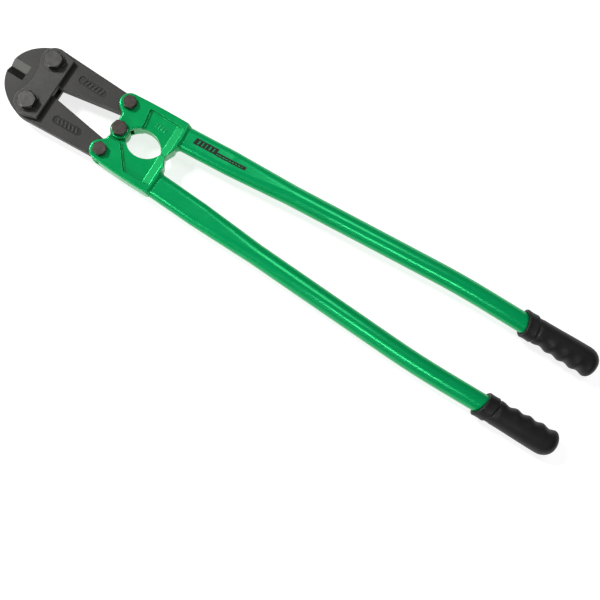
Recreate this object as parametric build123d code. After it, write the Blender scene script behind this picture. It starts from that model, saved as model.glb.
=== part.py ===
from build123d import *
import math
import os

# Bolt cutters with a compound linkage: two jaws between two straps, two cast arms, two tube handles.
# The model is drawn about the centre bolt, with X towards the grips, Y across the jaws and Z up
# through the thickness, and is moved at the end so that the origin is under the middle of the tool.

# Linkage, in plan
STRAP_PIVOT = (-119.5, 32.5)
TAIL_PIVOT = (-7.0, 38.0)

# Jaws
NOSE_X = -169.0
EDGE_END_X = -143.0
JAW_HALF_T = 8.0
JAW_GAP = 0.05
CONTACT_END_X = -132.0
CONTACT_RELIEF = (-128.0, 2.4)
BEVEL_WIDTH = 11.0
EDGE_LAND = 0.4
SHANK_REAR = (-12.0, 22.0)
TAIL_R = 12.0
TAIL_HEEL_ANGLE = -63.0
PANEL_CENTRE = (-61.5, 32.2)
PANEL_LENGTH = 43.0
PANEL_WIDTH = 12.0
PANEL_DEPTH = 1.0
PANEL_BARS = 6
PANEL_BAR_PITCH = 5.4
PANEL_BAR_WIDTH = 2.2
PANEL_BAR_HEIGHT = 7.4
PANEL_BAR_SLANT = -20
JAW_EDGE_R = 1.5

# Straps
STRAP_T = 7.5
SLIDE_GAP = 0.1
STRAP_REAR_X = -98.2
STRAP_REAR_HALF = 46.5
STRAP_EAR_R = 19.5
STRAP_FRONT_X = -131.5
STRAP_CHAMFER = 1.1

# Strap bolts, nuts and washers
STRAP_BOLT_R = 7.0
STRAP_HEX = 22.0
STRAP_HEAD_H = 8.0
STRAP_WASHER_R = 14.0
WASHER_T = 1.5
SHAFT_GAP = 0.05
BOLT_END_RECESS = 0.6

# Arm castings
ARM_HALF_T = 14.0
EAR_R = 15.0
BOSS_R = 13.0
TONGUE_R = 13.5
FORK_HALF_GAP = 8.15
SLOT_GAP = 0.5
WEB_HALF_T = 8.6
SHANK_HALF_W = 18.7
STOP_GAP = 0.15
CENTRE_PLAY = 4.5
ARM_EDGE_R = 2.5
WEB_FLOOR_R = 2.0
WEB_CORNER_R = 3.0
RAMP_START_X = 62.0
RAMP_END_X = 72.5
RIM_INNER_Y = 46.3
TAPER_LENGTH = 4.5
SHANK_STEP = 0.5
CAST_MARK_AT = (45.0, 32.5)
CAST_MARK_PITCH = 4.6
CAST_MARK_COUNT = 4
CAST_MARK_WIDTH = 1.6
CAST_MARK_HEIGHT = 7.0
CAST_MARK_RAISE = 0.6
BELOW_STOP_Y = -5.0
BEYOND_X = 90.0
EAR_SLOPE = 5.2
EYE_TOP = (35.0, 19.6)

# Arm bolts, nuts and washers
ARM_BOLT_R = 6.0
TAIL_HEX = 17.0
CENTRE_HEX = 19.0
ARM_HEAD_H = 7.5
ARM_NUT_H = 6.5
ARM_WASHER_R = 12.0
ARM_WASHER_T = 1.2

# Handle tubes
TUBE_R = 15.0
TUBE_WALL = 2.0
TUBE_START = (79.1, 38.5)
TUBE_ANGLE = 3.65
OVAL_HALF_W = 18.2
OVAL_HALF_T = 10.5
OVAL_LENGTH = 70.0
ROUND_AT = 165.0
STRAIGHT_LENGTH = 392.0
BEND_R = 1413.0
TUBE_END_X = 736.0
SPIGOT_LENGTH = 45.0
SPIGOT_FIT = 0.3

# Grips
GRIP_TIP_X = 748.6
COLLAR_FRONT_X = 623.0
COLLAR_SLANT = 12.0
COLLAR_LENGTH = 19.0
COLLAR_R = 20.4
GROOVE_R = 18.2
GROOVE_LENGTH = 3.5
GRIP_FRONT_R = 19.0
GRIP_REAR_R = 20.8
GRIP_END_R = 11.0
FINGER_FIRST_X = 663.0
FINGER_PITCH = 21.5
FINGER_COUNT = 4
FINGER_DEPTH = 2.4
FINGER_R = 16.0

STRAP_FACE = JAW_HALF_T + SLIDE_GAP + STRAP_T
HALF_STACK = STRAP_FACE + WASHER_T + STRAP_HEAD_H
MID_X = (NOSE_X + GRIP_TIP_X) / 2
LONG = 200.0


def outline(start, *steps):
    """Closed face from a start point and steps: a point is a line, a pair of points is an arc."""
    edges = []
    here = start
    for step in steps:
        if isinstance(step[0], tuple):
            edges.append(ThreePointArc(here, step[0], step[1]))
            here = step[1]
        else:
            edges.append(Line(here, step))
            here = step
    if here != start:
        edges.append(Line(here, start))
    return make_face(Wire(edges))


def slab(face, low, high):
    """A plan face made solid between two heights."""
    return extrude(Pos(0, 0, low) * face, high - low)


def both_faces(face, inner, outer):
    """The same slab on the front and on the rear, between two distances from the middle."""
    return slab(face, inner, outer) + slab(face, -outer, -inner)


def disc(centre, radius):
    return Pos(centre[0], centre[1]) * Circle(radius)


def on_circle(centre, radius, degrees):
    angle = math.radians(degrees)
    return (centre[0] + radius * math.cos(angle), centre[1] + radius * math.sin(angle))


def across(solid):
    """The mirror image of an upper piece, on the other side of the tool's centre line."""
    return mirror(solid, about=Plane.XZ)


def flat_edges(solid, height):
    """Edges lying flat at a height on the front and rear faces."""
    return [
        edge for edge in solid.edges()
        if abs(abs(edge.center().Z) - height) < 0.01 and edge.bounding_box().size.Z < 0.01
    ]


def jaw_panel():
    """Plan of the sunk obround on the jaw's flank, without the slanted bars left standing in it."""
    panel = SlotOverall(PANEL_LENGTH, PANEL_WIDTH)
    for bar in range(PANEL_BARS):
        offset = (bar - (PANEL_BARS - 1) / 2) * PANEL_BAR_PITCH
        panel -= Pos(offset, 0, 0) * Rot(0, 0, PANEL_BAR_SLANT) * Rectangle(PANEL_BAR_WIDTH, PANEL_BAR_HEIGHT)
    return Pos(*PANEL_CENTRE) * Rot(0, 0, -2) * panel


def make_jaw():
    """Upper jaw: bevelled cutting edge at the nose, long shank and a round tail."""
    profile = outline(
        (NOSE_X, JAW_GAP),
        ((-166.0, 17.0), (-156.5, 33.0)),
        ((-144.0, 43.8), (-128.0, 51.8)),
        ((-120.0, 53.5), (-111.0, 53.3)),
        (-20.0, 49.6),
        on_circle(TAIL_PIVOT, TAIL_R, 90),
        (on_circle(TAIL_PIVOT, TAIL_R, 10), on_circle(TAIL_PIVOT, TAIL_R, TAIL_HEEL_ANGLE)),
        SHANK_REAR,
        CONTACT_RELIEF,
        (CONTACT_END_X, JAW_GAP),
    )
    jaw = slab(profile, -JAW_HALF_T, JAW_HALF_T)
    outer = [edge for edge in flat_edges(jaw, JAW_HALF_T) if edge.center().Y > 15 and edge.center().X < -15]
    jaw = fillet(outer, JAW_EDGE_R)
    rise = JAW_HALF_T + 1
    run = BEVEL_WIDTH * (rise - EDGE_LAND) / (JAW_HALF_T - EDGE_LAND)
    bevel = Plane.YZ * make_face(Polyline((-1, EDGE_LAND), (0, EDGE_LAND), (run, rise), (-1, rise), close=True))
    bevel = Pos(NOSE_X - 5, 0, 0) * extrude(bevel, EDGE_END_X - NOSE_X + 4)
    jaw = jaw - bevel - mirror(bevel, about=Plane.XY)
    jaw = jaw - both_faces(jaw_panel(), JAW_HALF_T - PANEL_DEPTH, JAW_HALF_T + 1)
    jaw = jaw - slab(disc(STRAP_PIVOT, STRAP_BOLT_R + SHAFT_GAP), -LONG, LONG)
    return jaw - slab(disc(TAIL_PIVOT, ARM_BOLT_R + SHAFT_GAP), -LONG, LONG)


def make_strap():
    """Front strap: a D-shaped plate round both strap bolts, scooped at the front, straight at the rear."""
    ear_top = on_circle(STRAP_PIVOT, STRAP_EAR_R, 72)
    ear_front = on_circle(STRAP_PIVOT, STRAP_EAR_R, 130)
    ear_inner = on_circle(STRAP_PIVOT, STRAP_EAR_R, 206)
    profile = outline(
        (STRAP_REAR_X, -STRAP_REAR_HALF),
        (STRAP_REAR_X, STRAP_REAR_HALF),
        ear_top,
        (ear_front, ear_inner),
        ((STRAP_FRONT_X, 0.0), (ear_inner[0], -ear_inner[1])),
        ((ear_front[0], -ear_front[1]), (ear_top[0], -ear_top[1])),
    )
    strap = slab(profile, JAW_HALF_T + SLIDE_GAP, STRAP_FACE)
    strap = chamfer(strap.edges().group_by(Axis.Z)[-1], STRAP_CHAMFER)
    for side in (1, -1):
        hole = disc((STRAP_PIVOT[0], side * STRAP_PIVOT[1]), STRAP_BOLT_R + SHAFT_GAP)
        strap = strap - slab(hole, 0, LONG)
    return strap


def hexagon(across_flats, height, turn):
    """Hexagonal prism with both ends crowned, as a bolt head or a nut is."""
    prism = extrude(Rot(0, 0, turn) * RegularPolygon(across_flats / 2, 6, major_radius=False), height)
    crown_r = across_flats / 2 * 0.97
    drop = (across_flats / math.sqrt(3) - crown_r) * math.tan(math.radians(30))
    cone = Pos(0, 0, height - drop / 2) * Cone(crown_r + drop / math.tan(math.radians(30)), crown_r, drop)
    column = Pos(0, 0, (height - drop) / 2) * Cylinder(across_flats, height - drop)
    return prism & (column + cone)


def make_bolt(centre, radius, across_flats, head_h, seat, end, turn):
    """Bolt with its head on the front, seated at a height, and its shank down to the rear end."""
    head = Pos(0, 0, seat) * hexagon(across_flats, head_h, turn)
    shank = Pos(0, 0, (seat + end) / 2) * Cylinder(radius, seat - end)
    shank = chamfer(shank.edges().sort_by(Axis.Z)[0], 1.0)
    return Pos(*centre) * (head + shank)


def make_nut(centre, radius, across_flats, height, seat, turn):
    """Nut on the rear, with its seat towards the front."""
    nut = mirror(hexagon(across_flats, height, turn), about=Plane.XY) - Cylinder(radius, LONG)
    return Pos(centre[0], centre[1], seat) * nut


def make_washer(centre, inner_r, outer_r, thickness, low):
    ring = Circle(outer_r) - Circle(inner_r)
    return Pos(centre[0], centre[1], 0) * slab(ring, low, low + thickness)


def round_corners(face, corners):
    """Round some corners of a plan face, each given as a point and a radius."""
    for x, y, radius in corners:
        near = face.vertices().sort_by_distance((x, y, 0))[0]
        face = fillet(near, radius)
    return face


def tangent_mid(start, heading, end):
    """Middle of the arc that leaves a point at a heading in degrees and ends at another point."""
    run = Vector(end[0] - start[0], end[1] - start[1])
    turn = math.atan2(run.Y, run.X) - math.radians(heading)
    turn = math.remainder(turn, math.tau)
    bulge = math.tan(turn / 2) / 2
    return ((start[0] + end[0]) / 2 + bulge * run.Y, (start[1] + end[1]) / 2 - bulge * run.X)


def arm_profile():
    """Upper arm in plan, from the ear round to the shank, the stop pad and the eye."""
    run = (math.cos(math.radians(TUBE_ANGLE)), math.sin(math.radians(TUBE_ANGLE)))
    seam_outer = (TUBE_START[0] - SHANK_HALF_W * run[1], TUBE_START[1] + SHANK_HALF_W * run[0])
    seam_inner = (TUBE_START[0] + SHANK_HALF_W * run[1], TUBE_START[1] - SHANK_HALF_W * run[0])
    ear_top = on_circle(TAIL_PIVOT, EAR_R, 90 + EAR_SLOPE)
    body = outline(
        ear_top,
        (tangent_mid(ear_top, EAR_SLOPE, seam_outer), seam_outer),
        seam_inner,
        ((74.6, 9.5), (70.5, STOP_GAP)),
        (62.5, STOP_GAP),
        (tangent_mid(EYE_TOP, 0, (62.5, STOP_GAP)), EYE_TOP),
        (tangent_mid(EYE_TOP, 180, (13.5, 8.0)), (13.5, 8.0)),
        (5.0, 0.0),
        (-8.5, 9.0),
        (-8.8, 20.0),
        on_circle(TAIL_PIVOT, EAR_R, 212),
        TAIL_PIVOT,
    )
    return body + disc(TAIL_PIVOT, EAR_R)


def arm_blank(profile):
    """The casting before its webs and slots, rounded along every edge but the one at the tube."""
    blank = slab(profile, -ARM_HALF_T, ARM_HALF_T)
    rounded = [edge for edge in flat_edges(blank, ARM_HALF_T) if edge.center().X < TUBE_START[0] - 1]
    return fillet(rounded, ARM_EDGE_R)


def tail_slot():
    """Plan of the space that the jaw's tail and shank sweep inside the arm's fork."""
    clear_r = TAIL_R + SLOT_GAP
    return disc(TAIL_PIVOT, clear_r) + outline(
        on_circle(TAIL_PIVOT, clear_r, 25),
        (-3.0, 57.0),
        (-LONG, 90.0),
        (-LONG, -20.0),
        (SHANK_REAR[0] + 0.2, SHANK_REAR[1] - SLOT_GAP - 0.3),
        on_circle(TAIL_PIVOT, clear_r, TAIL_HEEL_ANGLE),
        TAIL_PIVOT,
    )


def web_cutter(ledge):
    """Cutter for the sunk web on the front: left by a ledge line, with a ramp up to the shank."""
    plan = outline(
        ledge[0],
        (BEYOND_X, RIM_INNER_Y),
        (BEYOND_X, BELOW_STOP_Y),
        (ledge[-1][0], BELOW_STOP_Y),
        *reversed(ledge[1:]),
    )
    plan = round_corners(plan, [(*ledge[0], WEB_CORNER_R)])
    rise = (ARM_HALF_T - WEB_HALF_T) / (RAMP_END_X - RAMP_START_X)
    side = make_face(Polyline(
        (0, WEB_HALF_T),
        (RAMP_START_X, WEB_HALF_T),
        (RAMP_END_X + 1 / rise, ARM_HALF_T + 1),
        (0, ARM_HALF_T + 1),
        close=True,
    ))
    cutter = slab(plan, WEB_HALF_T - 1, ARM_HALF_T + 2) & extrude(Plane.XZ * side, LONG, both=True)
    floor = [face for face in cutter.faces() if face.normal_at().Z < -0.5]
    rim = [edge for face in floor for edge in face.edges()
           if edge.center().Y > BELOW_STOP_Y + 0.1 and edge.center().Z < ARM_HALF_T
           and abs(edge.center().X - RAMP_START_X) > 0.01]
    return fillet(rim, WEB_FLOOR_R)


def shape_arm(blank, ledge):
    """Sink the web on both faces and add the spigot that goes inside the tube."""
    cutter = web_cutter(ledge)
    arm = blank - cutter - mirror(cutter, about=Plane.XY) - shank_taper()
    spigot = extrude(tube_section(OVAL_HALF_W, OVAL_HALF_T, -TUBE_WALL - SPIGOT_FIT), SPIGOT_LENGTH + 10)
    return arm + Pos(*TUBE_START) * Rot(0, 0, TUBE_ANGLE) * Pos(-10, 0, 0) * spigot


def shank_taper():
    """What is cut from round the end of the shank, so that it comes down to the tube's oval."""
    core = loft([
        Pos(-TAPER_LENGTH, 0, 0) * tube_section(OVAL_HALF_W, OVAL_HALF_T, TAPER_LENGTH),
        Pos(TAPER_LENGTH, 0, 0) * tube_section(OVAL_HALF_W, OVAL_HALF_T, 2 * SHANK_STEP - TAPER_LENGTH),
    ])
    shell = Pos(-TAPER_LENGTH / 2 + 0.5, 0, 0) * Box(TAPER_LENGTH + 1, 70, 50) - core
    return Pos(*TUBE_START) * Rot(0, 0, TUBE_ANGLE) * shell


def make_upper_arm():
    """Upper arm: a fork over the jaw's tail and a second fork over the lower arm's tongue."""
    profile = arm_profile() + disc((0, 0), BOSS_R)
    profile = round_corners(profile, [(-8.5, 9.8, 3), (-8.8, 20, 4), (-13.9, 24.7, 4), (11.5, 6.1, 2),
                                      (70.5, 0.15, 1.5), (62.5, 0.15, 1.5)])
    ledge = [(19.0, RIM_INNER_Y + 0.3), (21.0, 38.0), (23.0, 26.0), (24.0, 10.0)]
    arm = shape_arm(arm_blank(profile), ledge)
    for mark in range(CAST_MARK_COUNT):
        x = CAST_MARK_AT[0] + (mark - (CAST_MARK_COUNT - 1) / 2) * CAST_MARK_PITCH
        bar = Pos(x, CAST_MARK_AT[1], 0) * SlotOverall(CAST_MARK_HEIGHT, CAST_MARK_WIDTH, rotation=75)
        arm = arm + both_faces(bar, WEB_HALF_T - 1, WEB_HALF_T + CAST_MARK_RAISE)
    arm = arm - slab(tail_slot(), -FORK_HALF_GAP, FORK_HALF_GAP)
    arm = arm - slab(disc((0, 0), TONGUE_R + CENTRE_PLAY), -FORK_HALF_GAP, FORK_HALF_GAP)
    arm = arm - slab(disc((0, 0), ARM_BOLT_R + SHAFT_GAP), -LONG, LONG)
    return arm - slab(disc(TAIL_PIVOT, ARM_BOLT_R + SHAFT_GAP), -LONG, LONG)


def make_lower_arm():
    """Lower arm, drawn as an upper one: a fork over the jaw's tail and a tongue at the centre bolt."""
    profile = round_corners(arm_profile(), [(-8.8, 20, 4), (-13.9, 24.7, 4),
                                            (70.5, 0.15, 1.5), (62.5, 0.15, 1.5)])
    ledge = [(33.5, RIM_INNER_Y + 0.9), (26.0, 37.0), (18.0, 26.5), (9.0, 15.5)]
    body = shape_arm(arm_blank(profile), ledge)
    body = body - both_faces(disc((0, 0), BOSS_R + CENTRE_PLAY), JAW_HALF_T, LONG)
    arm = body + slab(disc((0, 0), TONGUE_R), -JAW_HALF_T, JAW_HALF_T)
    arm = arm - slab(tail_slot(), -FORK_HALF_GAP, FORK_HALF_GAP)
    arm = arm - slab(disc((0, 0), ARM_BOLT_R + CENTRE_PLAY), -LONG, LONG)
    arm = arm - slab(disc(TAIL_PIVOT, ARM_BOLT_R + SHAFT_GAP), -LONG, LONG)
    return across(arm)


def tube_section(half_w, half_t, grow):
    """Section of the tube across its run, from the flattened oval to the round."""
    corner = min(half_w, half_t) * 0.985
    return Plane.YZ * RectangleRounded(2 * (half_w + grow), 2 * (half_t + grow), corner + grow)


def straight_tube(grow):
    """The straight stretch, filled: oval at the casting, blended to round."""
    oval = tube_section(OVAL_HALF_W, OVAL_HALF_T, grow)
    round_end = tube_section(TUBE_R, TUBE_R, grow)
    front = extrude(oval, OVAL_LENGTH)
    blend = loft([Pos(OVAL_LENGTH, 0, 0) * oval, Pos(ROUND_AT, 0, 0) * round_end])
    rear = Pos(ROUND_AT, 0, 0) * extrude(round_end, STRAIGHT_LENGTH - ROUND_AT)
    return front + blend + rear


def bent_tube(grow):
    """The long bend that brings the handle parallel to the tool, and the run inside the grip."""
    section = tube_section(TUBE_R, TUBE_R, grow)
    bend = revolve(section, Axis((0, -BEND_R, 0), (0, 0, -1)), TUBE_ANGLE)
    return bend


def make_tube():
    """Upper handle tube, hollow from the casting to its end inside the grip."""
    place = Pos(*TUBE_START) * Rot(0, 0, TUBE_ANGLE)
    bend_place = place * Pos(STRAIGHT_LENGTH, 0, 0)
    shells = []
    for grow in (0.0, -TUBE_WALL):
        straight = place * straight_tube(grow)
        bend = bend_place * bent_tube(grow)
        run = TUBE_END_X - bend_end()[0]
        last = Pos(*bend_end()) * extrude(tube_section(TUBE_R, TUBE_R, grow), run)
        shells.append(straight + bend + last)
    return shells[0] - shells[1]


def bend_end():
    """Where the bend ends, in plan: the tube's centre line is parallel to the tool from here."""
    angle = math.radians(TUBE_ANGLE)
    x = TUBE_START[0] + STRAIGHT_LENGTH * math.cos(angle) + BEND_R * math.sin(angle)
    y = TUBE_START[1] + STRAIGHT_LENGTH * math.sin(angle) + BEND_R * (1 - math.cos(angle))
    return (x, y)


def make_grip():
    """Upper grip: a rubber sleeve with a slanted collar, finger hollows inside and a rounded end."""
    axis_y = bend_end()[1]
    collar_end = COLLAR_FRONT_X + COLLAR_LENGTH
    tip = GRIP_TIP_X
    half = outline(
        (COLLAR_FRONT_X - 8, 0),
        (COLLAR_FRONT_X - 8, COLLAR_R),
        (collar_end, COLLAR_R),
        (collar_end + 0.8, GROOVE_R),
        (collar_end + GROOVE_LENGTH, GROOVE_R),
        (collar_end + GROOVE_LENGTH + 0.8, GRIP_FRONT_R),
        (tip - GRIP_END_R - 9, GRIP_REAR_R),
        ((tip - GRIP_END_R * 0.45, GRIP_REAR_R * 0.76), (tip, 0)),
    )
    grip = Pos(0, axis_y, 0) * revolve(half, Axis.X)
    face = Pos(COLLAR_FRONT_X, axis_y, 0) * Rot(0, 0, COLLAR_SLANT) * Pos(-20, 0, 0) * Box(40, 90, 60)
    grip = grip - face
    for finger in range(FINGER_COUNT):
        x = FINGER_FIRST_X + finger * FINGER_PITCH
        y = axis_y - GRIP_FRONT_R - FINGER_R + FINGER_DEPTH - 0.2 * finger
        grip = grip - slab(disc((x, y), FINGER_R), -LONG, LONG)
    bore = Pos(*bend_end()) * extrude(tube_section(TUBE_R, TUBE_R, 0.0), TUBE_END_X - bend_end()[0])
    return grip - bore


def main():
    strap = make_strap()
    centre = (0, 0)
    strap_seat = STRAP_FACE + WASHER_T
    nut_end = -HALF_STACK + BOLT_END_RECESS
    arm_nut_end = -ARM_HALF_T - ARM_WASHER_T - ARM_NUT_H
    parts = {
        "upper_jaw": make_jaw(),
        "front_strap": strap,
        "rear_strap": mirror(strap, about=Plane.XY),
        "upper_strap_bolt": make_bolt(STRAP_PIVOT, STRAP_BOLT_R, STRAP_HEX, STRAP_HEAD_H,
                                      strap_seat, nut_end, 30),
        "upper_strap_nut": make_nut(STRAP_PIVOT, STRAP_BOLT_R, STRAP_HEX, STRAP_HEAD_H, -strap_seat, 22),
        "upper_strap_front_washer": make_washer(STRAP_PIVOT, STRAP_BOLT_R + SHAFT_GAP, STRAP_WASHER_R,
                                                WASHER_T, STRAP_FACE),
        "upper_strap_rear_washer": make_washer(STRAP_PIVOT, STRAP_BOLT_R + SHAFT_GAP, STRAP_WASHER_R,
                                               WASHER_T, -strap_seat),
        "upper_tail_bolt": make_bolt(TAIL_PIVOT, ARM_BOLT_R, TAIL_HEX, ARM_HEAD_H, ARM_HALF_T,
                                     arm_nut_end + BOLT_END_RECESS, 12),
        "upper_tail_nut": make_nut(TAIL_PIVOT, ARM_BOLT_R, TAIL_HEX, ARM_NUT_H,
                                   -ARM_HALF_T - ARM_WASHER_T, 5),
        "upper_tail_washer": make_washer(TAIL_PIVOT, ARM_BOLT_R + SHAFT_GAP, ARM_WASHER_R, ARM_WASHER_T,
                                         -ARM_HALF_T - ARM_WASHER_T),
        "upper_handle_tube": make_tube(),
        "upper_grip": make_grip(),
    }
    for name in [name for name in parts if name.startswith("upper_")]:
        parts[name.replace("upper_", "lower_")] = across(parts[name])
    parts["upper_arm"] = make_upper_arm()
    parts["lower_arm"] = make_lower_arm()
    parts["centre_bolt"] = make_bolt(centre, ARM_BOLT_R, CENTRE_HEX, ARM_HEAD_H, ARM_HALF_T,
                                     arm_nut_end + BOLT_END_RECESS, 18)
    parts["centre_nut"] = make_nut(centre, ARM_BOLT_R, CENTRE_HEX, ARM_NUT_H, -ARM_HALF_T - ARM_WASHER_T, 25)
    parts["centre_washer"] = make_washer(centre, ARM_BOLT_R + SHAFT_GAP, ARM_WASHER_R, ARM_WASHER_T,
                                         -ARM_HALF_T - ARM_WASHER_T)

    os.makedirs("parts", exist_ok=True)
    for name, solid in parts.items():
        export_step(Pos(-MID_X, 0, HALF_STACK) * solid, f"parts/{name}.step")


main()
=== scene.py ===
import math

import bmesh
import bpy
from mathutils import Matrix, Vector
from mathutils.bvhtree import BVHTree


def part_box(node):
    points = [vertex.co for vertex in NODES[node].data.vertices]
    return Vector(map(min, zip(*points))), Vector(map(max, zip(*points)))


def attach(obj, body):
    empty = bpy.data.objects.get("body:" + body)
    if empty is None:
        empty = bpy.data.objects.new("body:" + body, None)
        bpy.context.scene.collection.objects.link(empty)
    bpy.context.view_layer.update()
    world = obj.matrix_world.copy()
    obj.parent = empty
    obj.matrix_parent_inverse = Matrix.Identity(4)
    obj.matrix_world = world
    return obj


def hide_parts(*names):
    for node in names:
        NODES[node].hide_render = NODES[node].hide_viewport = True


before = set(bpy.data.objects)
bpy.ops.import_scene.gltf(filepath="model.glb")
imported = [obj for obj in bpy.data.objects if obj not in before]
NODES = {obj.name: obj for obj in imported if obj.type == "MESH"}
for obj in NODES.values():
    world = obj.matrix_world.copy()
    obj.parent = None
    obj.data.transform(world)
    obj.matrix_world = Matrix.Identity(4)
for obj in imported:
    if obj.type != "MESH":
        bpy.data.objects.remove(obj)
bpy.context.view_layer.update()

scene = bpy.context.scene
MM = 0.001
MID_Z = 0.0251

# Jaws: where the cutting bevels end along the tool and how wide they are, and the sunk panels' floors
EDGE_END = -0.4331
BEVEL_WIDTH = 0.0109
PANEL_FLOOR = (0.0060, 0.0077)
PANEL_SPAN = (-0.3745, -0.3280)


# ---------------------------------------------------------------- materials

def srgb(r, g, b):
    """Linear colour for a screen colour given in 0..255."""
    def channel(c):
        c = c / 255
        return c / 12.92 if c <= 0.04045 else ((c + 0.055) / 1.055) ** 2.4
    return (channel(r), channel(g), channel(b), 1.0)


# Painted shade: dark tones mixed in where the ambient occlusion is closed, in corners and at the seats of
# other pieces
PAINTED_SHADE_ON_STEEL = srgb(14, 14, 13)
PAINTED_SHADE_IN_CORNERS = srgb(6, 6, 6)
PAINTED_SHADE_ON_BOLTS = srgb(10, 10, 9)
PAINTED_SHADE_ON_GREEN = srgb(0, 92, 52)
PANEL_TONE = srgb(8, 8, 8)
SCUFFED_RUBBER = srgb(70, 71, 71)


class Surface:
    """A node material built up in steps on one Principled shader."""

    def __init__(self, name, colour, metallic, roughness, specular=0.5):
        self.material = bpy.data.materials.new(name)
        self.material.use_nodes = True
        self.tree = self.material.node_tree
        self.shader = self.tree.nodes["Principled BSDF"]
        self.material.diffuse_color = colour
        self.shader.inputs["Metallic"].default_value = metallic
        self.shader.inputs["Roughness"].default_value = roughness
        self.shader.inputs["Specular IOR Level"].default_value = specular
        self.shader.inputs["Base Color"].default_value = colour
        self.coords = self.node("ShaderNodeTexCoord").outputs["Object"]
        self.colour = None
        self.base = colour
        self.rough = None
        self.roughness = roughness
        self.normal = None

    def node(self, kind, **settings):
        made = self.tree.nodes.new(kind)
        for key, value in settings.items():
            setattr(made, key, value)
        return made

    def link(self, source, target):
        self.tree.links.new(source, target)

    def noise(self, scale, detail=4.0, rough=0.55, stretch=None):
        """A noise of so many cells in a metre, as its factor."""
        made = self.node("ShaderNodeTexNoise")
        made.inputs["Scale"].default_value = scale
        made.inputs["Detail"].default_value = detail
        made.inputs["Roughness"].default_value = rough
        source = self.coords
        if stretch:
            mapping = self.node("ShaderNodeMapping")
            mapping.inputs["Scale"].default_value = stretch
            self.link(source, mapping.inputs["Vector"])
            source = mapping.outputs["Vector"]
        self.link(source, made.inputs["Vector"])
        return made.outputs["Fac"]

    def remap(self, value, low, high, to_low=0.0, to_high=1.0):
        made = self.node("ShaderNodeMapRange")
        made.inputs["From Min"].default_value = low
        made.inputs["From Max"].default_value = high
        made.inputs["To Min"].default_value = to_low
        made.inputs["To Max"].default_value = to_high
        self.link(value, made.inputs["Value"])
        return made.outputs["Result"]

    def math(self, operation, first, second):
        made = self.node("ShaderNodeMath", operation=operation)
        for socket, value in zip(made.inputs, (first, second)):
            if isinstance(value, (int, float)):
                socket.default_value = value
            else:
                self.link(value, socket)
        return made.outputs["Value"]

    def axes(self):
        """The x, y and z of the shaded point, in metres, with the tool at rest."""
        parts = self.node("ShaderNodeSeparateXYZ")
        self.link(self.coords, parts.inputs[0])
        return parts.outputs

    def between(self, value, low, high):
        """1 where a value lies between two limits, and 0 elsewhere."""
        return self.math("MULTIPLY", self.math("GREATER_THAN", value, low),
                         self.math("LESS_THAN", value, high))

    def mix_colour(self, factor, other):
        """Blend the colour so far towards another one where the factor is high."""
        made = self.node("ShaderNodeMix", data_type="RGBA")
        made.inputs[7].default_value = other
        if self.colour is None:
            made.inputs[6].default_value = self.base
        else:
            self.link(self.colour, made.inputs[6])
        self.link(factor, made.inputs[0])
        self.colour = made.outputs[2]

    def mix_rough(self, factor, amount):
        """Add an amount of roughness where the factor is high."""
        change = self.math("MULTIPLY", factor, amount)
        self.rough = self.math("ADD", change, self.roughness if self.rough is None else self.rough)

    def bump(self, height, depth, strength=1.0):
        made = self.node("ShaderNodeBump")
        made.inputs["Distance"].default_value = depth
        made.inputs["Strength"].default_value = strength
        self.link(height, made.inputs["Height"])
        if self.normal is not None:
            self.link(self.normal, made.inputs["Normal"])
        self.normal = made.outputs["Normal"]

    def soften(self, radius):
        """Shade hard edges as if rounded by a radius."""
        bevel = self.node("ShaderNodeBevel", samples=8)
        bevel.inputs["Radius"].default_value = radius
        self.normal = bevel.outputs["Normal"]

    def edges(self, radius, low=0.01, high=0.16):
        """Mask that is high along sharp edges, broken up by a fine noise."""
        bevel = self.node("ShaderNodeBevel", samples=6)
        bevel.inputs["Radius"].default_value = radius
        flat = self.node("ShaderNodeNewGeometry")
        dot = self.node("ShaderNodeVectorMath", operation="DOT_PRODUCT")
        self.link(bevel.outputs["Normal"], dot.inputs[0])
        self.link(flat.outputs["Normal"], dot.inputs[1])
        edge = self.math("SUBTRACT", 1.0, dot.outputs["Value"])
        mask = self.remap(edge, low, high)
        wear_and_highlight = self.remap(self.noise(420, 5.0, 0.7), 0.38, 0.62)
        return self.math("MULTIPLY", mask, wear_and_highlight)

    def crevice_shade(self, distance, tone, amount):
        """Paint shade into corners and the seats of other pieces, where the ambient occlusion closes in."""
        occlusion = self.node("ShaderNodeAmbientOcclusion", samples=8)
        occlusion.inputs["Distance"].default_value = distance
        closed = self.math("SUBTRACT", 1.0, occlusion.outputs["AO"])
        mask = self.remap(closed, 0.12, 0.55)
        spread = self.remap(self.noise(260, 4.0, 0.6), 0.3, 0.6, 0.7, 1.0)
        self.mix_colour(self.math("MULTIPLY", self.math("MULTIPLY", mask, spread), amount), tone)

    def finish(self):
        if self.colour is not None:
            self.link(self.colour, self.shader.inputs["Base Color"])
        if self.rough is not None:
            self.link(self.rough, self.shader.inputs["Roughness"])
        if self.normal is not None:
            self.link(self.normal, self.shader.inputs["Normal"])
        return self.material


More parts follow.
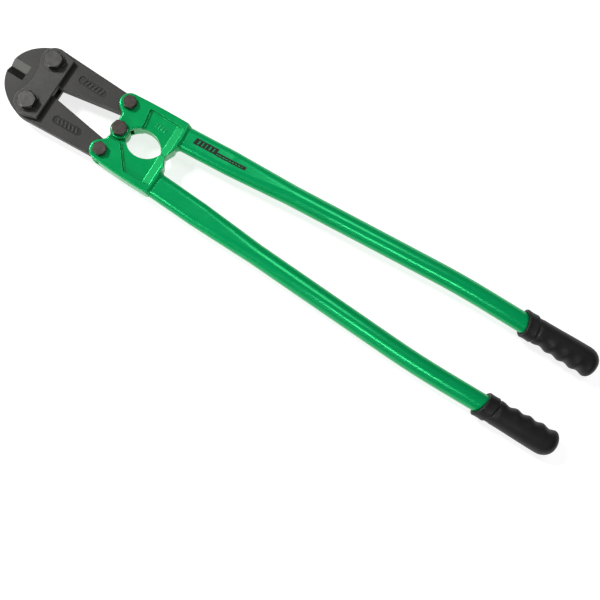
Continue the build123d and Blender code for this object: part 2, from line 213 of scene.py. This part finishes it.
def phosphated(name, dark, light, wear_and_highlight, grain_depth, painted_bevel_tone=None, panel=0.0):
    """Dark phosphated forging: mottled, finely pitted, with painted shade in its corners and edges rubbed
    bright, the bright edges partly painted highlight.
    """
    s = Surface(name, dark, 0.35, 0.48, 0.4)
    s.mix_colour(s.remap(s.noise(38, 5.0, 0.5), 0.3, 0.75), light)
    if painted_bevel_tone:
        jaw_edge(s, painted_bevel_tone)
        panel_floor(s, panel)
    speckle = s.remap(s.noise(2600, 2.0, 0.5), 0.56, 0.72)
    s.mix_colour(s.math("MULTIPLY", speckle, 0.35), wear_and_highlight)
    # Painted shade in corners and as dark outlines along edges
    s.crevice_shade(3.5 * MM, PAINTED_SHADE_ON_STEEL, 0.85)
    s.crevice_shade(1.1 * MM, PAINTED_SHADE_IN_CORNERS, 0.9)
    # Edges rubbed bright: partly wear, partly a painted highlight
    s.mix_colour(s.math("MULTIPLY", s.edges(0.9 * MM), 0.9), wear_and_highlight)
    s.mix_rough(s.noise(300, 4.0, 0.6), 0.16)
    s.soften(0.6 * MM)
    s.bump(s.noise(1900, 4.0, 0.65), grain_depth)
    s.bump(s.noise(120, 3.0, 0.5), grain_depth * 1.5, 0.6)
    return s.finish()


def panel_floor(surface, amount):
    """Darken the floor of the sunk panel on the jaw's shank."""
    x, _, z = surface.axes()
    height = surface.math("ABSOLUTE", surface.math("SUBTRACT", z, MID_Z), 0.0)
    mask = surface.math("MULTIPLY", surface.between(height, *PANEL_FLOOR), surface.between(x, *PANEL_SPAN))
    surface.mix_colour(surface.math("MULTIPLY", mask, amount), PANEL_TONE)


def jaw_edge(surface, tone):
    """Paint the bevels behind the cutting edge in one tone: painted light on one jaw, painted shade on the
    other.
    """
    x, y, _ = surface.axes()
    along = surface.math("LESS_THAN", x, EDGE_END)
    surface.mix_colour(surface.math("MULTIPLY", along, surface.between(y, -BEVEL_WIDTH, BEVEL_WIDTH)), tone)


def fastener(name, dark, light, wear_and_highlight):
    """Oxide-finished bolt: turned grain on the head, painted shade at its seat, scuffed corners rubbed
    bright, partly as painted highlight.
    """
    s = Surface(name, dark, 0.75, 0.34)
    s.mix_colour(s.remap(s.noise(160, 5.0, 0.6), 0.35, 0.68), light)
    # Painted shade at the seat and in corners
    s.crevice_shade(2.0 * MM, PAINTED_SHADE_ON_BOLTS, 0.7)
    # Corners rubbed bright: partly wear, partly a painted highlight
    s.mix_colour(s.math("MULTIPLY", s.edges(0.7 * MM), 0.85), wear_and_highlight)
    scratches = s.remap(s.noise(900, 3.0, 0.6, (1.0, 0.12, 1.0)), 0.6, 0.75)
    s.mix_colour(s.math("MULTIPLY", scratches, 0.4), wear_and_highlight)
    s.mix_rough(s.noise(420, 4.0, 0.6), 0.2)
    s.soften(0.5 * MM)
    s.bump(s.noise(1400, 3.0, 0.6), 0.05 * MM)
    return s.finish()


def enamel(name, green, shade, bright, texture_depth, texture_scale):
    """Gloss green enamel: slight orange peel over the surface under it, with painted shade in its corners
    and a painted highlight along its edges.
    """
    s = Surface(name, green, 0.3, 0.2, 0.2)
    s.mix_colour(s.remap(s.noise(18, 4.0, 0.5), 0.35, 0.72, 0.0, 0.6), shade)
    # Painted shade in corners and at the seats of other pieces
    s.crevice_shade(4.0 * MM, PAINTED_SHADE_ON_GREEN, 0.55)
    # Painted highlight along the edges, in a bright green
    s.mix_colour(s.math("MULTIPLY", s.edges(1.2 * MM), 0.55), bright)
    dust = s.remap(s.noise(3000, 2.0, 0.5), 0.68, 0.8)
    s.mix_colour(s.math("MULTIPLY", dust, 0.08), bright)
    s.mix_rough(s.remap(s.noise(60, 4.0, 0.6), 0.3, 0.7), 0.08)
    s.soften(1.4 * MM)
    s.bump(s.noise(texture_scale, 2.0, 0.4), texture_depth)
    return s.finish()


def rubber(name, dark, light):
    """Moulded black rubber: fine matt grain with a slight bloom."""
    s = Surface(name, dark, 0.0, 0.42, 0.3)
    s.mix_colour(s.remap(s.noise(40, 5.0, 0.6), 0.4, 0.75), light)
    scuff = s.remap(s.noise(700, 4.0, 0.65, (0.25, 1.0, 1.0)), 0.6, 0.8)
    s.mix_colour(s.math("MULTIPLY", scuff, 0.3), SCUFFED_RUBBER)
    s.mix_rough(s.noise(200, 5.0, 0.6), 0.18)
    s.bump(s.noise(1500, 3.0, 0.6), 0.06 * MM)
    return s.finish()


def printed(name, dark, light):
    """Screen-printed ink: thin, slightly uneven, satin."""
    s = Surface(name, dark, 0.0, 0.38, 0.3)
    s.mix_colour(s.remap(s.noise(900, 3.0, 0.6), 0.4, 0.75), light)
    s.mix_rough(s.noise(500, 3.0, 0.5), 0.15)
    s.bump(s.noise(2400, 2.0, 0.5), 0.01 * MM)
    return s.finish()


JAW_TONES = (srgb(40, 40, 38), srgb(50, 49, 47), srgb(104, 103, 99), 0.05 * MM)
MATERIALS = {
    "strap_steel": phosphated("strap_phosphate", srgb(45, 45, 43), srgb(54, 54, 51),
                              srgb(150, 149, 144), 0.04 * MM),
    "strap_fastener": fastener("strap_bolt_zinc", srgb(50, 50, 48), srgb(63, 62, 60),
                               srgb(118, 117, 113)),
    "pivot_fastener": fastener("pivot_bolt_oxide", srgb(56, 50, 47), srgb(70, 63, 59),
                               srgb(116, 105, 101)),
    "washer_steel": fastener("washer_oxide", srgb(48, 48, 47), srgb(64, 63, 61),
                             srgb(104, 102, 98)),
    "green_casting": enamel("casting_enamel", srgb(0, 167, 91), srgb(0, 157, 84),
                            srgb(90, 228, 165), 0.035 * MM, 190),
    "green_tube": enamel("tube_enamel", srgb(0, 168, 95), srgb(0, 158, 88),
                         srgb(80, 220, 155), 0.003 * MM, 200),
    "grip_rubber": rubber("grip_moulding", srgb(15, 16, 15), srgb(22, 23, 22)),
}

# Bevel tones are painted light and shade of the same steel: the upper jaw's bevel painted lighter as if
# lit, the lower jaw's near black as painted shade
JAW_MATERIALS = {
    "upper_jaw": phosphated("upper_jaw_phosphate", *JAW_TONES, srgb(78, 78, 74), 0.45),
    "lower_jaw": phosphated("lower_jaw_phosphate", *JAW_TONES, srgb(10, 10, 10), 0.85),
}

for record_node in NODES.values():
    if record_node.name in JAW_MATERIALS:
        record_node.material_slots[0].material = JAW_MATERIALS[record_node.name]
    for place in record_node.material_slots:
        for slot_name, material in MATERIALS.items():
            if place.material and place.material.name.startswith(slot_name):
                place.material = material
                break


# ---------------------------------------------------------------- grips

GRIP_AXIS_IN = 0.0208
AXIAL_SEGMENTS = 96
SLANT = 4.6
COLLAR_LENGTH = 17.5
BODY_FRONT = 23.0
FIRST_VALLEY = 39.5
VALLEY_PITCH = 21.6
VALLEY_COUNT = 4
BODY_R = 19.0
BODY_REAR_R = 20.7
TIP_X = 125.4
BORE_R = 15.12
BORE_END = 112.0


def smooth(low, high, value):
    """Rises smoothly from 0 to 1 between two values."""
    t = min(max((value - low) / (high - low), 0.0), 1.0)
    return t * t * (3 - 2 * t)


def grip_radius(x, inward):
    """Radius of the grip's body in mm; inward is 1 on the side of the fingers and -1 opposite."""
    taper = smooth(BODY_FRONT, 105.0, x)
    radius = BODY_R + (BODY_REAR_R - BODY_R) * taper
    side = max(inward, 0.0) ** 1.15
    swell = 0.9 * smooth(26.0, 60.0, x) * side
    phase = math.cos(math.tau * (x - FIRST_VALLEY) / VALLEY_PITCH)
    hollow = (0.5 + 0.5 * phase) ** 0.8 * smooth(27.0, 32.0, x)
    hollow *= 1.0 - smooth(FIRST_VALLEY + (VALLEY_COUNT - 0.55) * VALLEY_PITCH,
                           FIRST_VALLEY + (VALLEY_COUNT - 0.45) * VALLEY_PITCH, x)
    return radius + swell - 2.5 * hollow * side


def grip_rows():
    """The grip's skin as rows of (distance along, radius) functions, from the bore's end to the tip."""
    rows = [lambda c: (BORE_END, BORE_R), lambda c: (60.0, BORE_R),
            lambda c: (2.5 + SLANT * c, BORE_R), lambda c: (0.7 + SLANT * c, BORE_R + 0.1),
            lambda c: (0.1 + SLANT * c, BORE_R + 0.7), lambda c: (SLANT * c, BORE_R + 1.6),
            lambda c: (SLANT * c, 18.3), lambda c: (0.25 + SLANT * c, 19.3),
            lambda c: (0.9 + SLANT * c, 20.0), lambda c: (2.2 + SLANT * c, 20.35)]
    for step in range(1, 8):
        x = 2.2 + (COLLAR_LENGTH - 3.4) * step / 8
        rows.append(lambda c, x=x: (x + SLANT * c, 20.35 - 0.55 * math.sin(math.pi * x / COLLAR_LENGTH)))
    lip = COLLAR_LENGTH
    for x, radius in ((lip - 1.2, 20.3), (lip - 0.4, 20.1), (lip, 19.5), (lip + 0.3, 18.7),
                      (lip + 0.9, 18.1), (lip + 1.9, 17.9), (lip + 2.9, 18.0), (lip + 3.6, 18.4)):
        rows.append(lambda c, x=x, radius=radius: (x + 0.8 * SLANT * c, radius))
    count = 84
    for step in range(count + 1):
        t = step / count
        rows.append(lambda c, t=t: body_point(BODY_FRONT - 0.7 + 0.75 * SLANT * c * (1 - t) ** 2
                                              + t * (shoulder(c) - BODY_FRONT), c))
    for step in range(1, 15):
        turn = math.pi / 2 * step / 15
        rows.append(lambda c, turn=turn: end_point(turn, c))
    return rows


def shoulder(c):
    """Where the rounded end begins: early on the outer side, late on the inner side."""
    return 108.5 + 5.5 * c + 1.5 * c * c


def body_point(x, c):
    return (x, grip_radius(x, c) - 0.5 * (1 - smooth(BODY_FRONT - 1.0, BODY_FRONT + 1.5, x)))


def end_point(turn, c):
    start = shoulder(c) - 0.7
    radius = grip_radius(start, c)
    return (start + (TIP_X - start) * math.sin(turn), radius * math.cos(turn) ** 0.86)


def make_grip(name, node, inward):
    """Rubber grip skinned over its rows; inward is the sign of y that points at the other handle."""
    low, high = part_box(node)
    axis_y = (high.y - GRIP_AXIS_IN) if inward < 0 else (low.y + GRIP_AXIS_IN)
    tip_x = high.x / MM
    front = tip_x - TIP_X
    vertices = [((front + BORE_END) * MM, axis_y, MID_Z)]
    faces = []
    rows = grip_rows()
    for row in rows:
        for segment in range(AXIAL_SEGMENTS):
            turn = math.tau * segment / AXIAL_SEGMENTS
            x, radius = row(math.cos(turn))
            vertices.append(((front + x) * MM, axis_y + inward * math.cos(turn) * radius * MM,
                             MID_Z + math.sin(turn) * radius * MM))
    vertices.append(((front + TIP_X) * MM, axis_y, MID_Z))
    last = len(vertices) - 1
    n = AXIAL_SEGMENTS
    for segment in range(n):
        after = (segment + 1) % n
        faces.append((0, 1 + after, 1 + segment))
        for row in range(len(rows) - 1):
            start = 1 + row * n
            faces.append((start + segment, start + after, start + n + after, start + n + segment))
        start = 1 + (len(rows) - 1) * n
        faces.append((start + segment, start + after, last))
    mesh = bpy.data.meshes.new(name)
    mesh.from_pydata(vertices, [], faces)
    made = bmesh.new()
    made.from_mesh(mesh)
    bmesh.ops.recalc_face_normals(made, faces=made.faces)
    made.to_mesh(mesh)
    made.free()
    mesh.shade_smooth()
    mesh.materials.append(MATERIALS["grip_rubber"])
    grip = bpy.data.objects.new(name, mesh)
    scene.collection.objects.link(grip)
    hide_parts(node)
    return grip


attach(make_grip("upper_grip_sleeve", "upper_grip", -1), "upper_handle")
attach(make_grip("lower_grip_sleeve", "lower_grip", 1), "lower_handle")


# ---------------------------------------------------------------- tube label

# Distances along the tube from the arm (s) and across it (t), as (start, end, low, high)
TUBE_SEAM = Vector((-0.2107, 0.0385))
TUBE_ANGLE = math.radians(3.65)
LABEL_LIFT = 0.00012
ABOVE_TOOL = 0.2
DOWN = Vector((0, 0, -1))
LABEL_STEP = 0.0006
LABEL_SLANT = 0.24
BLOCK = (0.0130, 0.0472, -0.0030, 0.0069)
STRIPE = (0.0472, 0.0928, -0.0034, 0.0018)
LABEL_LOW = STRIPE[2]
SLIT_FIRST = 0.0186
SLIT_PITCH = 0.0056
SLIT_COUNT = 5
SLIT_WIDTH = 0.0013
SLIT_LOW, SLIT_HIGH = -0.0012, 0.0051
LINE_LOW, LINE_HIGH = -0.0014, -0.0006
LINE_END = 0.0880
DASH_PITCH = 0.0048
DASH_LENGTH = 0.0030


def label_ink(s, t):
    """Whether the label is printed black at a distance along the tube and across it."""
    lean = s - LABEL_SLANT * t
    in_block = BLOCK[0] <= lean <= BLOCK[1] and BLOCK[2] <= t <= BLOCK[3]
    in_stripe = STRIPE[0] < lean <= STRIPE[1] and STRIPE[2] <= t <= STRIPE[3]
    for slit in range(SLIT_COUNT):
        start = SLIT_FIRST + slit * SLIT_PITCH
        if start <= lean <= start + SLIT_WIDTH and SLIT_LOW <= t <= SLIT_HIGH:
            return False
    on_line = LINE_LOW <= t <= LINE_HIGH and lean <= LINE_END
    if in_stripe and on_line and lean % DASH_PITCH < DASH_LENGTH:
        return False
    return in_block or in_stripe


def make_label():
    """Plain printed block and tapering stripe, laid on the front of the upper tube."""
    tube = NODES["upper_handle_tube"]
    tree = BVHTree.FromObject(tube, bpy.context.evaluated_depsgraph_get())
    along = Vector((math.cos(TUBE_ANGLE), math.sin(TUBE_ANGLE)))
    across = Vector((-along.y, along.x))
    made = bmesh.new()
    corners = {}

    def corner(i, j):
        if (i, j) not in corners:
            t = LABEL_LOW + j * LABEL_STEP
            s = BLOCK[0] + i * LABEL_STEP + LABEL_SLANT * t
            point = TUBE_SEAM + along * s + across * t
            hit = tree.ray_cast(Vector((point.x, point.y, ABOVE_TOOL)), DOWN)[0]
            corners[i, j] = made.verts.new((point.x, point.y, hit.z + LABEL_LIFT))
        return corners[i, j]

    columns = round((STRIPE[1] - BLOCK[0]) / LABEL_STEP)
    rows = round((BLOCK[3] - LABEL_LOW) / LABEL_STEP)
    for i in range(columns):
        for j in range(rows):
            t = LABEL_LOW + (j + 0.5) * LABEL_STEP
            s = BLOCK[0] + (i + 0.5) * LABEL_STEP + LABEL_SLANT * t
            if label_ink(s, t):
                made.faces.new((corner(i, j), corner(i + 1, j), corner(i + 1, j + 1), corner(i, j + 1)))
    solid = bmesh.ops.extrude_face_region(made, geom=made.faces[:])
    for item in solid["geom"]:
        if isinstance(item, bmesh.types.BMVert):
            item.co.z -= 2 * LABEL_LIFT
    bmesh.ops.recalc_face_normals(made, faces=made.faces)
    mesh = bpy.data.meshes.new("tube_label")
    made.to_mesh(mesh)
    made.free()
    mesh.materials.append(printed("label_print", srgb(6, 12, 8), srgb(12, 22, 15)))
    obj = bpy.data.objects.new("tube_label", mesh)
    scene.collection.objects.link(obj)
    return obj


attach(make_label(), "upper_handle")


# ---------------------------------------------------------------- camera

CAMERA_ELEVATION = math.radians(80.7469)
CAMERA_AZIMUTH = math.radians(-25.9439)
CAMERA_ROLL = math.radians(-56.521)
CAMERA_DISTANCE = 0.9999854
CAMERA_TARGET = Vector((0.038442, -0.0721303, 0.0251))
CAMERA_LENS = 43.2986

cos_e, sin_e = math.cos(CAMERA_ELEVATION), math.sin(CAMERA_ELEVATION)
cos_a, sin_a = math.cos(CAMERA_AZIMUTH), math.sin(CAMERA_AZIMUTH)
back = Vector((sin_a * cos_e, -cos_a * cos_e, sin_e))
level = Vector((cos_a, sin_a, 0.0))
upward = back.cross(level)
camera_x = math.cos(CAMERA_ROLL) * level - math.sin(CAMERA_ROLL) * upward
camera_y = math.sin(CAMERA_ROLL) * level + math.cos(CAMERA_ROLL) * upward
camera = bpy.data.objects.new("camera", bpy.data.cameras.new("camera"))
camera.matrix_world = Matrix.Translation(CAMERA_TARGET + back * CAMERA_DISTANCE) @ Matrix(
    (camera_x, camera_y, back)).transposed().to_4x4()
camera.data.lens = CAMERA_LENS
camera.data.sensor_width = 36.0
camera.data.clip_start = 0.01
camera.data.clip_end = 50.0
scene.collection.objects.link(camera)
scene.camera = camera


# ---------------------------------------------------------------- floor and light

FLOOR_TONE = (0.4, 0.4, 0.4, 1.0)
FLOOR_MOTTLE = (0.42, 0.42, 0.42, 1.0)
FLOOR_GLOW = 0.78
FLOOR_HALF = 6.0


def floor_material():
    """Plain pale studio floor, very slightly mottled."""
    s = Surface("studio_floor", FLOOR_TONE, 0.0, 0.9, 0.1)
    s.mix_colour(s.remap(s.noise(2.0), 0.3, 0.7), FLOOR_MOTTLE)
    s.shader.inputs["Emission Color"].default_value = (1.0, 1.0, 1.0, 1.0)
    s.shader.inputs["Emission Strength"].default_value = FLOOR_GLOW
    return s.finish()


floor_mesh = bpy.data.meshes.new("studio_floor")
floor_mesh.from_pydata([(-FLOOR_HALF, -FLOOR_HALF, 0), (FLOOR_HALF, -FLOOR_HALF, 0),
                        (FLOOR_HALF, FLOOR_HALF, 0), (-FLOOR_HALF, FLOOR_HALF, 0)],
                       [], [(0, 1, 2, 3)])
floor = bpy.data.objects.new("studio_floor", floor_mesh)
floor.data.materials.append(floor_material())
scene.collection.objects.link(floor)


def area_light(name, position, target, size, power):
    """Rectangular softbox, its long side along x."""
    data = bpy.data.lights.new(name, "AREA")
    data.shape = "RECTANGLE"
    data.size, data.size_y = size
    data.energy = power
    lamp = bpy.data.objects.new(name, data)
    lamp.location = position
    lamp.rotation_euler = (Vector(target) - Vector(position)).to_track_quat("-Z", "Y").to_euler()
    scene.collection.objects.link(lamp)
    return lamp


# Name, position, aimed at, size, power, lights surfaces, shows in reflections
LIGHTS = (
    ("key_light", (-2.0, 0.25, 2.1), (-0.35, 0.0, 0.0), (0.5, 0.5), 61.0, True, True),
    ("side_light", (0.1, -2.3, 1.3), (0.0, 0.0, 0.0), (1.4, 1.0), 28.0, True, False),
    ("overhead_light", (0.05, 0.72, 1.65), (0.0, 0.0, 0.0), (0.7, 0.55), 6.5, True, True),
    ("strip_light", (0.27, -0.36, 0.53), (0.2, 0.0, 0.0), (0.34, 0.07), 1.25, False, True),
    ("rim_light", (-1.5, -1.7, 1.3), (-0.2, 0.0, 0.0), (0.7, 0.7), 40.0, False, True),
    ("ramp_light", (-2.0, 0.42, 0.85), (-0.22, 0.0, 0.0), (0.8, 0.5), 1.7, False, True),
    ("ledge_light", (-0.31, -0.36, 0.35), (-0.22, 0.0, 0.0), (0.12, 0.08), 0.3, False, True),
)
for name, position, target, size, power, diffuse, glossy in LIGHTS:
    lamp = area_light(name, position, target, size, power)
    lamp.visible_diffuse = diffuse
    lamp.visible_glossy = glossy

WORLD_STRENGTH = 0.12
world = bpy.data.worlds.new("studio_world")
world.use_nodes = True
world.node_tree.nodes["Background"].inputs["Color"].default_value = (1.0, 1.0, 1.0, 1.0)
world.node_tree.nodes["Background"].inputs["Strength"].default_value = WORLD_STRENGTH
scene.world = world
scene.view_settings.view_transform = "Standard"
